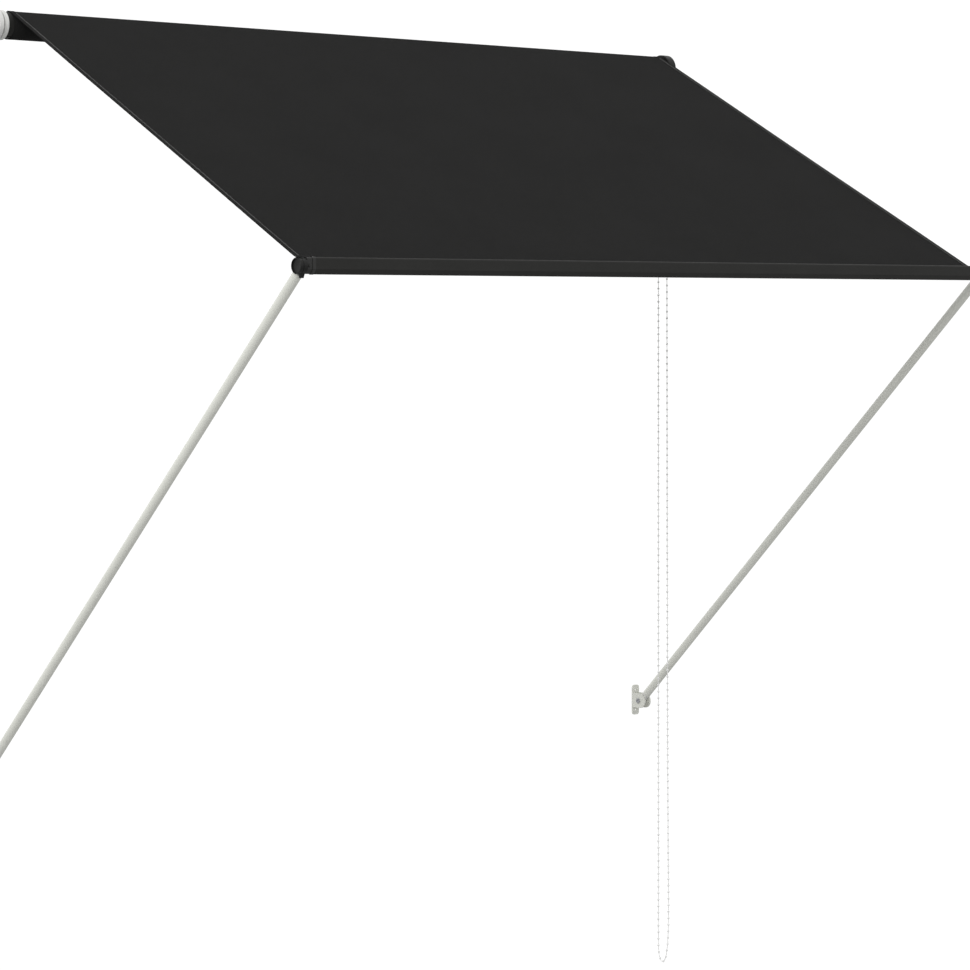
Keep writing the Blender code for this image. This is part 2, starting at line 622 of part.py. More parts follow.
def bar_plug(side, hub, inward):
    """Sleeve, collar and insert in one piece, bored for the hub bolt."""
    name = f"{side}_bar_plug"
    origin = (BAR_Y, BAR_Z)
    axis = along_x(hub, *origin)

    def part_of(label, outline, start, end, look=None):
        return prism(label, outline, hub + inward * start, hub + inward * end, *origin, look)

    insert = part_of(name + "_insert", bar_outline(-BAR_WALL - GAP), BAR_FROM - MM, INSERT_TO)
    relief = circle(WELT_BORE_R + WELT_WALL + 0.4 * MM, 16, BAR_WELT)
    cut(insert, part_of(name + "_relief", relief, BAR_FROM, INSERT_TO + 5 * MM))
    web = groove_web(14 * MM, 2.6 * MM)
    cut(insert, part_of(name + "_web_relief", web, BAR_FROM, INSERT_TO + 5 * MM))
    plug = part_of(name, bar_outline(-0.5 * MM), SLEEVE_FROM, COLLAR_FROM + MM, DARK_PLASTIC)
    join(plug, part_of(name + "_collar", bar_outline(0.4 * MM), COLLAR_FROM, BAR_FROM - GAP), insert)
    reach = inward * 40 * MM
    cut(plug, rod(name + "_bore", PIN_HOLE_R, min(0, reach), max(0, reach), axis, steps=20))

    middle = hub + inward * (SLEEVE_FROM + COLLAR_FROM) / 2
    front = Matrix.Translation((middle, BAR_Y, BAR_Z)) @ Matrix.Rotation(math.pi / 2, 4, "X")
    cut(plug, rod(name + "_screw_hole", 1.5 * MM, PIN_R + MM, 12 * MM, front, steps=12))
    face = BAR_OUTLINE[0][0] * MM - 0.5 * MM + GAP
    top = face + 1.2 * MM
    tip = PIN_R + 1.4 * MM
    profile = [(0, top), (1.6 * MM, top), (2.2 * MM, top - 0.6 * MM), (2.2 * MM, face)]
    profile += [(1.2 * MM, face), (1.2 * MM, tip), (0, tip)]
    turned(f"{side}_plug_screw", profile, front, DARK_PLASTIC, steps=16)


def hub(side, start, inward):
    """The bolt that the arm's eye turns on, and the round cap on its head, as (radius, depth) in mm."""
    axis = along_x(start, BAR_Y, BAR_Z)
    cap = [(0, 3.0), (10.3, 2.4), (10.5, 0.4), (10.9, 0.0), (11.6, 0.0), (12.2, 0.6)]
    cap += [(12.2, 5.4), (11.6, 6.0), (5.3, 6.0), (5.3, 4.0), (0, 4.0)]
    bolt = [(0, 4.3), (5.0, 4.3), (5.0, 6.0), (3.0, 6.0), (3.0, 36.0), (0, 36.0)]
    for piece, outline, look in (("hub_cap", cap, DARK_PLASTIC), ("hub_bolt", bolt, STEEL)):
        profile = [(radius * MM, inward * height * MM) for radius, height in outline]
        if inward > 0:
            profile.reverse()
        turned(f"{side}_{piece}", profile, axis, look, steps=32)


# Cloth


def canopy():
    """The cloth between roll and front bar. Its left front corner is cut back and lies over the hub."""
    leaves, length, slope = cloth_line()
    end = length - WELT_R - GAP
    bar_start = LEFT_HUB_X + BAR_FROM + MM
    outline = [
        (CLOTH_LEFT, 0.0),
        (CLOTH_RIGHT, 0.0),
        (CLOTH_RIGHT, end),
        (bar_start, end),
        (bar_start, length - CORNER_CUT - 2 * CLOTH),
        (CLOTH_LEFT, length - CORNER_CUT - 2 * CLOTH),
    ]
    frame = Matrix.Translation((0, leaves.x, leaves.y)) @ Matrix.Rotation(math.pi + slope, 4, "X")
    slab("canopy", outline, CLOTH, frame, CANVAS)


def joint_empty(name, place, pieces):
    """An empty on a joint's axis, which carries the pieces that turn there."""
    empty = bpy.data.objects.new(name, None)
    empty.empty_display_size = 0.05
    empty.location = place
    PARTS.objects.link(empty)
    for piece in pieces:
        obj = bpy.data.objects[piece]
        obj.parent = empty
        obj.matrix_parent_inverse = Matrix.Translation(place).inverted()


def joints():
    tube_pieces = ["roller_tube", "roller_welt", "fabric_roll"]
    end_pieces = ["left_end_plug", "right_end_plug", "chain_wheel"]
    joint_empty("roller_turn", (0, -ROLLER_OUT, 0), tube_pieces + end_pieces)
    bar_pieces = ["front_bar", "front_welt"]
    for side, x in (("left", LEFT_ARM_X), ("right", RIGHT_ARM_X)):
        arm_pieces = [f"{side}_arm_{piece}" for piece in ("tube", "knuckle", "eye")]
        joint_empty(f"{side}_arm_swing", (x, -PIVOT_OUT, PIVOT_Z), arm_pieces)
        bar_pieces += [f"{side}_{piece}" for piece in ("bar_plug", "plug_screw", "hub_bolt", "hub_cap")]
    joint_empty("bar_turn", (LEFT_ARM_X, BAR_Y, BAR_Z), bar_pieces)


def main():
    roller_bracket("left", LEFT_PLATE, -1)
    roller_bracket("right", RIGHT_PLATE, 1)
    axle_pin("left", LEFT_PLATE, -1, 45 * MM)
    axle_pin("right", RIGHT_PLATE, 1, 35 * MM)
    bearing_cup()
    roller()
    chain_wheel()
    chain_housing()
    bead_chain()
    for side, x, hand in (("left", LEFT_ARM_X, 1), ("right", RIGHT_ARM_X, -1)):
        arm_bracket(side, x)
        pivot_rivet(side, x)
        arm(side, x, hand)
    front_bar()
    for side, start, inward in (("left", LEFT_HUB_X, 1), ("right", RIGHT_HUB_X, -1)):
        bar_plug(side, start, inward)
        hub(side, start, inward)
    canopy()
    joints()
    for obj in PARTS.objects:
        if obj.type == "MESH":
            smooth(obj.data)


clear_scene()
PARTS = collection("Canvas awning")
CUTTERS = collection("Cutters")
CUTTERS.hide_render = True
main()
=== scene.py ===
"""Finish of a drop-arm awning: cloth, hems, bead chain, arms and the surfaces of all its pieces.

The frame's axes hold everywhere: +X along the wall, -Y away from it, +Z up, in metres.
"""

import json
import math

import bpy
import numpy as np
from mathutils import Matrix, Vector


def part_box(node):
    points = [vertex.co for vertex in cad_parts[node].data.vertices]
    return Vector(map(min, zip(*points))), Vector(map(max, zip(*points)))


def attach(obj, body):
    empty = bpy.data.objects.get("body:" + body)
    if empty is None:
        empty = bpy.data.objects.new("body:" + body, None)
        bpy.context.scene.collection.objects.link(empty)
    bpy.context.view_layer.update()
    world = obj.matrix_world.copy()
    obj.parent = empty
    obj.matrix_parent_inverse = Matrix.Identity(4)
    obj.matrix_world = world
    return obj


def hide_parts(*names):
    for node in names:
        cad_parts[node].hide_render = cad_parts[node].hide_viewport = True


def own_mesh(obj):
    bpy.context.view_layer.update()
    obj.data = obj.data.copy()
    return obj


bl_info = {
    "name": "Drop-Arm Awning",
    "version": (1, 0, 0),
    "blender": (4, 5, 0),
    "location": "3D View > Sidebar > Awning",
    "description": "Cloth, chain, arms and finishes for an awning on two drop arms",
    "category": "Object",
}

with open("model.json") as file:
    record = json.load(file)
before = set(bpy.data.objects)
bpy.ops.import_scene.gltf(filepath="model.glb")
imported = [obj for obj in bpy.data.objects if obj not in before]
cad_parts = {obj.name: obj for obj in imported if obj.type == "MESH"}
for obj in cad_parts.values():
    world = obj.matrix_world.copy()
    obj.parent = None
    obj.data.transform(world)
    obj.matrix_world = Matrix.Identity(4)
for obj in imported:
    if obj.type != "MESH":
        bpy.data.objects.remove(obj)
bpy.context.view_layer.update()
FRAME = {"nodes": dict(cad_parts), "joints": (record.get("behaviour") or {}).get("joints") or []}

MM = 0.001
ROLLER_Y = sum(corner.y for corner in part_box("fabric_roll")) / 2
ROLLER_Z = sum(corner.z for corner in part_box("fabric_roll")) / 2
ROLL_R = (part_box("fabric_roll")[1].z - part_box("fabric_roll")[0].z) / 2
JOINTS = {joint["name"]: joint for joint in FRAME["joints"]}
PIVOT = np.array(JOINTS["left_arm_swing"]["pos_m"])
BAR_AXIS = np.array(JOINTS["bar_turn"]["pos_m"])
ARM = BAR_AXIS - PIVOT
ARM_LEAN = math.atan2(-ARM[1], ARM[2])
SIDES = ("left", "right")


# Settings


class ClothSettings(bpy.types.PropertyGroup):
    """Sizes and colours of the cloth."""

    thickness: bpy.props.FloatProperty(
        name="Thickness", description="Thickness of the canvas", default=0.5 * MM, unit="LENGTH"
    )
    sag: bpy.props.FloatProperty(
        name="Sag", description="How far the middle hangs below a flat sheet", default=2.4 * MM, unit="LENGTH"
    )
    hem: bpy.props.FloatProperty(
        name="Hem", description="Width of the folded side hems", default=10.0 * MM, unit="LENGTH"
    )
    stitch: bpy.props.FloatProperty(
        name="Stitch", description="Length of one stitch of the seams", default=3.4 * MM, unit="LENGTH"
    )
    yarn: bpy.props.FloatProperty(
        name="Yarn spacing", description="Distance between two yarns of the weave",
        default=0.62 * MM, unit="LENGTH"
    )
    colour: bpy.props.FloatVectorProperty(
        name="Colour", description="Colour of the canvas", default=(0.0148, 0.0148, 0.0146), subtype="COLOR"
    )
    # The thread is grey thread, and its grey is raised further as painted highlight: it stands in for the
    # light line along each seam's ridge.
    thread: bpy.props.FloatVectorProperty(
        name="Thread", description="Colour of the sewing thread", default=(0.17, 0.17, 0.168), subtype="COLOR"
    )
    lift: bpy.props.FloatProperty(
        name="Lift", description="How far the left front corner lies above the cloth's plane, over the hub",
        default=2.2 * MM, unit="LENGTH"
    )
    narrow: bpy.props.FloatProperty(
        name="Narrow", description="How much the right edge stands in at the roll",
        default=2.0 * MM, unit="LENGTH"
    )
    flare: bpy.props.FloatProperty(
        name="Flare", description="How much further out the right edge is at the front bar",
        default=6.0 * MM, unit="LENGTH"
    )


class ChainSettings(bpy.types.PropertyGroup):
    """Sizes and colour of the bead chain."""

    bead: bpy.props.FloatProperty(
        name="Bead", description="Diameter of a bead", default=4.5 * MM, unit="LENGTH"
    )
    pitch: bpy.props.FloatProperty(
        name="Pitch", description="Distance between two beads", default=12.5 * MM, unit="LENGTH"
    )
    cord: bpy.props.FloatProperty(
        name="Cord", description="Diameter of the cord between the beads", default=1.5 * MM, unit="LENGTH"
    )
    colour: bpy.props.FloatVectorProperty(
        name="Colour", description="Colour of the beads and their cord",
        default=(0.94, 0.94, 0.93), subtype="COLOR"
    )


class FinishSettings(bpy.types.PropertyGroup):
    """Colours of the painted and moulded pieces."""

    white: bpy.props.FloatVectorProperty(
        name="White paint", description="Powder coat of arms and brackets",
        default=(0.780, 0.788, 0.728), subtype="COLOR"
    )
    white_plastic: bpy.props.FloatVectorProperty(
        name="White plastic", description="Moulded white pieces", default=(0.74, 0.74, 0.72), subtype="COLOR"
    )
    dark: bpy.props.FloatVectorProperty(
        name="Dark paint", description="Powder coat of front bar and roller",
        default=(0.0265, 0.0265, 0.0250), subtype="COLOR"
    )
    black_plastic: bpy.props.FloatVectorProperty(
        name="Black plastic", description="Moulded black pieces",
        default=(0.0110, 0.0110, 0.0106), subtype="COLOR"
    )
    charcoal: bpy.props.FloatVectorProperty(
        name="Charcoal plastic", description="Moulded ends of the front bar",
        default=(0.026, 0.026, 0.025), subtype="COLOR"
    )
    edge: bpy.props.FloatProperty(
        name="Edge", description="Rounding of the pieces' edges", default=0.35 * MM, unit="LENGTH"
    )


class StageSettings(bpy.types.PropertyGroup):
    """Camera, floor and light."""

    lens: bpy.props.FloatProperty(
        name="Lens", description="Focal length", default=117.31 * MM, unit="CAMERA"
    )
    eye: bpy.props.FloatVectorProperty(
        name="Eye", description="Place of the camera",
        default=(-2.6639, -4.5325, -0.4609), subtype="XYZ", unit="LENGTH"
    )
    heading: bpy.props.FloatProperty(
        name="Heading", description="The camera's turn to the right",
        default=math.radians(40.087), subtype="ANGLE"
    )
    shift: bpy.props.FloatProperty(
        name="Shift", description="Vertical shift of the level camera", default=-0.1810, subtype="FACTOR"
    )
    floor: bpy.props.FloatProperty(
        name="Floor", description="Height of the floor", default=-1.95, unit="LENGTH"
    )


# Surfaces


def ring_quads(rows, columns, wrap_rows=False):
    """Corner numbers of the quads between rows of points, where each row is a closed ring.

    Each quad joins a point, its right, its upper right and its upper neighbour.
    """
    i = np.arange(rows if wrap_rows else rows - 1)[:, None]
    j = np.arange(columns)[None, :]
    up, right = (i + 1) % rows, (j + 1) % columns
    corners = (i * columns + j, i * columns + right, up * columns + right, up * columns + j)
    return np.stack(corners, axis=-1).reshape(-1, 4)


def strip_quads(rows, columns):
    """The same for a closed strip: each row runs along one face and back along the other.

    Its two ends are closed by quads from face to face.
    """
    first = np.arange(columns // 2 - 1)
    near = np.stack([first, columns - 1 - first, columns - 2 - first, first + 1], axis=-1)
    far = near[:, ::-1] + (rows - 1) * columns
    return np.concatenate([ring_quads(rows, columns), near, far])


def mesh_piece(name, points, quads, caps=(), uv=None):
    """A mesh from arrays: points (n, 3), smooth quads (m, 4) and flat caps.

    A cap is a ring of corner numbers that is closed as one face.
    """
    mesh = bpy.data.meshes.new(name)
    sizes = np.concatenate([np.full(len(quads), 4), [len(cap) for cap in caps]]).astype(np.int32)
    corners = np.concatenate([quads.ravel(), *caps]).astype(np.int32)
    mesh.vertices.add(len(points))
    mesh.vertices.foreach_set("co", np.asarray(points, np.float32).ravel())
    mesh.loops.add(len(corners))
    mesh.loops.foreach_set("vertex_index", corners)
    mesh.polygons.add(len(sizes))
    mesh.polygons.foreach_set("loop_start", (np.cumsum(sizes) - sizes).astype(np.int32))
    mesh.polygons.foreach_set("use_smooth", np.arange(len(sizes)) < len(quads))
    mesh.update(calc_edges=True)
    if uv is not None:
        layer = mesh.uv_layers.new(name="UVMap")
        layer.uv.foreach_set("vector", np.asarray(uv, np.float32)[corners].ravel())
    mesh.validate()
    obj = bpy.data.objects.new(name, mesh)
    bpy.context.scene.collection.objects.link(obj)
    return obj


def outward(obj):
    """Turns the faces of a closed piece outwards.

    Six times its volume is the sum of a . (b x c) over its triangles, which is negative if they face in.
    """
    mesh = obj.data
    mesh.calc_loop_triangles()
    corners = np.empty(len(mesh.loop_triangles) * 3, np.int32)
    mesh.loop_triangles.foreach_get("vertices", corners)
    points = np.empty(len(mesh.vertices) * 3, np.float32)
    mesh.vertices.foreach_get("co", points)
    points = points.reshape(-1, 3).astype(float)
    a, b, c = (points - points.mean(0))[corners.reshape(-1, 3)].transpose(1, 0, 2)
    if np.einsum("ij,ij->i", a, np.cross(b, c)).sum() < 0:
        mesh.flip_normals()
    return obj


def along(path, radius, sides):
    """Rings round a path: each is path + radius (cos a u + sin a v).

    u and v are square to the path's direction and to each other.
    """
    direction = np.gradient(path, axis=0)
    direction /= np.linalg.norm(direction, axis=1, keepdims=True)
    u = np.broadcast_to([1.0, 0.0, 0.0], path.shape) - direction * direction[:, :1]
    u = u / np.linalg.norm(u, axis=1, keepdims=True)
    v = np.cross(direction, u)
    a = np.linspace(0, 2 * np.pi, sides, endpoint=False)[None, :, None]
    ring = np.cos(a) * u[:, None] + np.sin(a) * v[:, None]
    return path[:, None] + radius * ring


def several(shape, quads, places):
    """One small shape repeated at many places (k, 3): its points (k n, 3) and its quads (k m, 4)."""
    points = (places[:, None] + shape[None]).reshape(-1, 3)
    faces = (quads[None] + np.arange(len(places))[:, None, None] * len(shape)).reshape(-1, 4)
    return points, faces


# Materials


OUTPUTS = {"Colour": "Color", "Roughness": "Float", "Normal": "Vector"}  # of an effect's group
MIX_A, MIX_B, MIX_RESULT = 6, 7, 2  # numbers of the Mix node's colour sockets


def group(name, inputs):
    """An empty shader node group with inputs {name: default} and a vector, for a surface effect."""
    tree = bpy.data.node_groups.new(name, "ShaderNodeTree")
    for label, value in inputs.items():
        kind = "NodeSocketColor" if hasattr(value, "__len__") else "NodeSocketFloat"
        socket = tree.interface.new_socket(label, in_out="INPUT", socket_type=kind)
        socket.default_value = value
    tree.interface.new_socket("Vector", in_out="INPUT", socket_type="NodeSocketVector")
    for label, kind in OUTPUTS.items():
        tree.interface.new_socket(label, in_out="OUTPUT", socket_type=f"NodeSocket{kind}")
    return tree, tree.nodes.new("NodeGroupInput"), tree.nodes.new("NodeGroupOutput")


def close_group(tree, out, colour, roughness, normal):
    """Joins the three sockets to the group's outputs."""
    for label, socket in zip(OUTPUTS, (colour, roughness, normal)):
        tree.links.new(socket, out.inputs[label])
    return tree


def node(tree, kind, links=None, **settings):
    """A node with its settings, and its inputs linked from sockets or set to values."""
    made = tree.nodes.new(kind)
    for key, value in settings.items():
        setattr(made, key, value)
    for key, value in (links or {}).items():
        if isinstance(value, bpy.types.NodeSocket):
            tree.links.new(value, made.inputs[key])
        else:
            made.inputs[key].default_value = value
    return made


def maths(tree, operation, a, b=0.0, c=0.0):
    return node(tree, "ShaderNodeMath", {0: a, 1: b, 2: c}, operation=operation).outputs[0]


def noise(tree, place, scale, detail, **more):
    inputs = {"Vector": place, "Scale": scale, "Detail": detail, **more}
    return node(tree, "ShaderNodeTexNoise", inputs).outputs["Fac"]


def mixed(tree, factor, a, b):
    """Colour a where the factor is 0, colour b where it is 1."""
    links = {"Factor": factor, MIX_A: a, MIX_B: b}
    return node(tree, "ShaderNodeMix", links, data_type="RGBA").outputs[MIX_RESULT]


def coat_group():
    """Powder coat and moulded skin: orange peel in the height, and faint clouds in colour and roughness."""
    inputs = {
        "Colour": (0.5, 0.5, 0.5, 1.0),
        "Shade": (0.45, 0.45, 0.45, 1.0),
        "Peel size": 900.0,
        "Peel height": 0.0001,
        "Roughness": 0.4,
        "Spread": 0.08,
    }
    tree, into, out = group("Coat skin", inputs)
    place = into.outputs["Vector"]
    peel = noise(tree, place, into.outputs["Peel size"], 2.0)
    clouds = maths(tree, "MULTIPLY", noise(tree, place, 9.0, 5.0, Roughness=0.6), 0.6)
    dust = noise(tree, place, 160.0, 4.0, Roughness=0.7)
    both = maths(tree, "MULTIPLY_ADD", dust, 0.4, clouds)
    spots = node(tree, "ShaderNodeMapRange", {"Value": both, "From Min": 0.35, "From Max": 0.65})
    colour = mixed(tree, spots.outputs[0], into.outputs["Colour"], into.outputs["Shade"])
    about = maths(tree, "SUBTRACT", both, 0.5)
    rough = maths(tree, "MULTIPLY_ADD", about, into.outputs["Spread"], into.outputs["Roughness"])
    height = maths(tree, "MULTIPLY", peel, into.outputs["Peel height"])
    bump = node(tree, "ShaderNodeBump", {"Height": height, "Distance": 1.0, "Strength": 1.0})
    return close_group(tree, out, colour, rough, bump.outputs[0])


def weave_group():
    """Plain weave from flat coordinates in metres: warp and weft pass over and under each other."""
    inputs = {
        "Colour": (0.03, 0.03, 0.03, 1.0),
        "Light yarn": (0.04, 0.04, 0.04, 1.0),
        "Yarn spacing": 0.0006,
        "Height": 0.0001,
        "Roughness": 0.85,
    }
    tree, into, out = group("Canvas weave", inputs)
    place = into.outputs["Vector"]
    split = node(tree, "ShaderNodeSeparateXYZ", {"Vector": place})
    turns = maths(tree, "DIVIDE", math.pi, into.outputs["Yarn spacing"])
    across = maths(tree, "SINE", maths(tree, "MULTIPLY", split.outputs["X"], turns))
    down = maths(tree, "SINE", maths(tree, "MULTIPLY", split.outputs["Y"], turns))
    warp = maths(tree, "ABSOLUTE", across)
    weft = maths(tree, "ABSOLUTE", down)
    over = maths(tree, "MULTIPLY_ADD", maths(tree, "MULTIPLY", across, down), 0.5, 0.5)
    high = maths(tree, "MULTIPLY_ADD", maths(tree, "SUBTRACT", warp, weft), over, weft)
    stretched = node(tree, "ShaderNodeMapping", {"Vector": place, "Scale": (700.0, 6.0, 1.0)})
    crossed = node(tree, "ShaderNodeMapping", {"Vector": place, "Scale": (6.0, 700.0, 1.0)})
    slubs = noise(tree, stretched.outputs[0], 1.0, 2.0)
    cross_slubs = noise(tree, crossed.outputs[0], 1.0, 2.0)
    yarns = maths(tree, "MULTIPLY", maths(tree, "ADD", slubs, cross_slubs), 0.25)
    both = maths(tree, "MULTIPLY_ADD", noise(tree, place, 7.0, 6.0), 0.5, yarns)
    tone = node(tree, "ShaderNodeMapRange", {"Value": both, "From Min": 0.35, "From Max": 0.65})
    colour = mixed(tree, tone.outputs[0], into.outputs["Colour"], into.outputs["Light yarn"])
    height = maths(tree, "MULTIPLY", high, into.outputs["Height"])
    bump = node(tree, "ShaderNodeBump", {"Height": height, "Distance": 1.0, "Strength": 0.8})
    about = maths(tree, "SUBTRACT", high, 0.5)
    rough = maths(tree, "MULTIPLY_ADD", about, -0.12, into.outputs["Roughness"])
    return close_group(tree, out, colour, rough, bump.outputs[0])


def made_once(kind, name, make):
    return kind.get(name) or make()


def material(name, effect, coordinates, values, **constants):
    """A Principled material: an effect's group gives its colour, roughness and normal."""
    made = bpy.data.materials.new(name)
    made.use_nodes = True
    tree = made.node_tree
    shader = tree.nodes["Principled BSDF"]
    for key, value in constants.items():
        shader.inputs[key.replace("_", " ")].default_value = value
    place = node(tree, "ShaderNodeTexCoord").outputs[coordinates]
    skin = node(tree, "ShaderNodeGroup", node_tree=effect)
    tree.links.new(place, skin.inputs["Vector"])
    for key, value in values.items():
        skin.inputs[key].default_value = value
    for label, target in zip(OUTPUTS, ("Base Color", "Roughness", "Normal")):
        tree.links.new(skin.outputs[label], shader.inputs[target])
    return made


def shade(colour, share):
    return (*[channel * share for channel in colour], 1.0)


def coat(name, colour, size, height, roughness, spread=0.08, darker=0.93, **constants):
    """A painted or moulded surface, with orange peel of the given size (per metre) and height."""
    effect = made_once(bpy.data.node_groups, "Coat skin", coat_group)
    values = {
        "Colour": shade(colour, 1.0),
        "Shade": shade(colour, darker),
        "Peel size": size,
        "Peel height": height,
        "Roughness": roughness,
        "Spread": spread,
    }
    return made_once(bpy.data.materials, name, lambda: material(name, effect, "Object", values, **constants))


def white_paint():
    colour = bpy.context.scene.awning_finish.white
    return coat("White powder coat", colour, 950.0, 0.006 * MM, 0.42, Specular_IOR_Level=0.3)


def white_plastic():
    colour = bpy.context.scene.awning_finish.white_plastic
    return coat("White moulded plastic", colour, 1500.0, 0.004 * MM, 0.45, Specular_IOR_Level=0.3)


def dark_paint():
    colour = bpy.context.scene.awning_finish.dark
    constants = {"darker": 0.85, "Specular_IOR_Level": 0.14}
    return coat("Dark powder coat", colour, 1100.0, 0.006 * MM, 0.50, **constants)


def black_plastic():
    colour = bpy.context.scene.awning_finish.black_plastic
    constants = {"darker": 0.85, "Specular_IOR_Level": 0.22}
    return coat("Black moulded plastic", colour, 1600.0, 0.004 * MM, 0.42, **constants)


def charcoal_plastic():
    colour = bpy.context.scene.awning_finish.charcoal
    constants = {"darker": 0.9, "Specular_IOR_Level": 0.3}
    return coat("Charcoal moulded plastic", colour, 1600.0, 0.004 * MM, 0.40, **constants)


def zinc():
    constants = {"spread": 0.25, "darker": 0.80, "Metallic": 1.0}
    return coat("Zinc plate", (0.50, 0.51, 0.53), 500.0, 0.006 * MM, 0.34, **constants)


def bead_plastic():
    colour = bpy.context.scene.awning_chain.colour
    constants = {"spread": 0.06, "darker": 0.97, "Specular_IOR_Level": 0.3}
    return coat("Bead plastic", colour, 700.0, 0.004 * MM, 0.35, **constants)


def canvas():
    cloth = bpy.context.scene.awning_cloth
    effect = made_once(bpy.data.node_groups, "Canvas weave", weave_group)
    values = {
        "Colour": shade(cloth.colour, 0.94),
        "Light yarn": shade(cloth.colour, 1.12),
        "Yarn spacing": cloth.yarn,
        "Height": 0.12 * MM,
        "Roughness": 0.88,
    }
    shine = {"Specular_IOR_Level": 0.05}
    return made_once(bpy.data.materials, "Canvas", lambda: material("Canvas", effect, "UV", values, **shine))


def thread_with_painted_highlight():
    # Painted highlight in part: the thread's raised grey stands in for the light line along the seam's ridge.
    colour = bpy.context.scene.awning_cloth.thread
    return coat("Sewing thread", colour, 2500.0, 0.02 * MM, 0.7, darker=0.8, Specular_IOR_Level=0.1)


def paint(obj, finish):
    obj.data.materials.clear()
    obj.data.materials.append(finish)
    return obj


def dress(names, finish):
    """Gives carried-over pieces their finish, and rounds their edges slightly."""
    for name in names:
        obj = FRAME["nodes"][name]
        for place in obj.material_slots:
            place.link = "OBJECT"
            place.material = finish
        weld = obj.modifiers.new("weld", "WELD")
        weld.merge_threshold = 0.01 * MM
        bevel = obj.modifiers.new("edges", "BEVEL")
        bevel.width = bpy.context.scene.awning_finish.edge
        bevel.segments = 2
        bevel.limit_method = "ANGLE"
        bevel.angle_limit = math.radians(40)
        bevel.harden_normals = True


# Cloth


WRAP_R = ROLL_R - 0.4 * MM  # outside of the turns left on the roller
LINE_R = ROLL_R + 0.7 * MM  # from the roller's axis to the middle of the cloth near the bar, square to it
FACE_R = ROLL_R + 0.95 * MM  # the same to its upper face
PLY_GAP = 0.05 * MM


def cloth_line():
    """Where the cloth leaves the roll (y, z), its length to the front bar's groove, its slope below level."""
    low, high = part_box("front_welt")
    welt = np.array([(low.y + high.y) / 2 - ROLLER_Y, (low.z + high.z) / 2 - ROLLER_Z])
    reach = float(np.hypot(*welt))
    slope = math.atan2(-welt[1], -welt[0]) + math.asin(LINE_R / reach)
    leaves = np.array([ROLLER_Y - LINE_R * math.sin(slope), ROLLER_Z + LINE_R * math.cos(slope)])
    return leaves, math.sqrt(reach**2 - LINE_R**2), slope


LEAVES, CLOTH_LENGTH, SLOPE = cloth_line()
CLOTH_LEFT, CLOTH_RIGHT = (corner.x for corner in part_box("canopy"))
BAR_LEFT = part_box("front_bar")[0].x
FLAP_TO = BAR_LEFT - 0.6 * MM  # right edge of the corner that lies over the hub and its collar
HUB_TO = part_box("left_bar_plug")[0].x + 8.5 * MM  # right edge of its part over the hub, next to the collar
BAR_GAP = 7.5 * MM  # from the groove to the cut back cloth beside the bar
INTO_GROOVE = 4.9 * MM  # how much further the cloth reaches on the bar
OVER_COLLAR = 2.5 * MM  # how much further the corner reaches over the collar
OVER_HUB = 3.5 * MM  # and over the hub, beyond that
FAN_WIDTH, FAN_SPREAD = 6 * MM, 0.6  # width of the raised corner at the bar, and its growth towards the roll
CORNER_RISE, CORNER_REACH = 1 * MM, 10 * MM
EASED_BY = 0.9  # share of the length over which the cloth comes out from the roll's radius
SEAM_IN = 2 * MM  # from the hem's inner edge to the middle of its seams
WAVE, WAVE_REACH = 0.16 * MM, 9 * MM
LONG_WAVE, SHORT_WAVE = 17.2 * MM, 11.5 * MM
DRIFT, DRIFT_REACH = 0.35 * MM, 50 * MM
FURROW, FURROW_REACH = 0.25 * MM, 1.4 * MM
THREAD_R = 0.30 * MM


def smoothed(value):
    """3v^2 - 2v^3, with v kept from 0 to 1."""
    v = np.clip(value, 0, 1)
    return v * v * (3 - 2 * v)


def pucker(s, t, w, inside, hem):
    """How much lower the cloth lies near its sides, inside being the distance from the edge.

    With d the distance from the seams, it is the sum of a furrow e^-(d / FURROW_REACH)^2, waves
    sin(2 pi s / LONG_WAVE + 3 sin 31s) + 0.6 sin(2 pi s / SHORT_WAVE + 11w) that fade by
    e^-(d / WAVE_REACH)^2, and a drift sin(9s + 4w) that fades by e^-(inside / DRIFT_REACH). It is nothing
    at the roll and at the bar, by the root of sin(pi t).
    """
    seam = inside - (hem - SEAM_IN)
    waves = np.sin(s / LONG_WAVE * 2 * np.pi + 3 * np.sin(s * 31))
    waves = waves + 0.6 * np.sin(s / SHORT_WAVE * 2 * np.pi + 11 * w)
    waves = WAVE * waves * np.exp(-((seam / WAVE_REACH) ** 2))
    drift = DRIFT * np.sin(s * 9 + 4 * w) * np.exp(-inside / DRIFT_REACH)
    furrow = FURROW * np.exp(-((seam / FURROW_REACH) ** 2))
    return (waves + drift + furrow) * np.sin(np.pi * t) ** 0.5


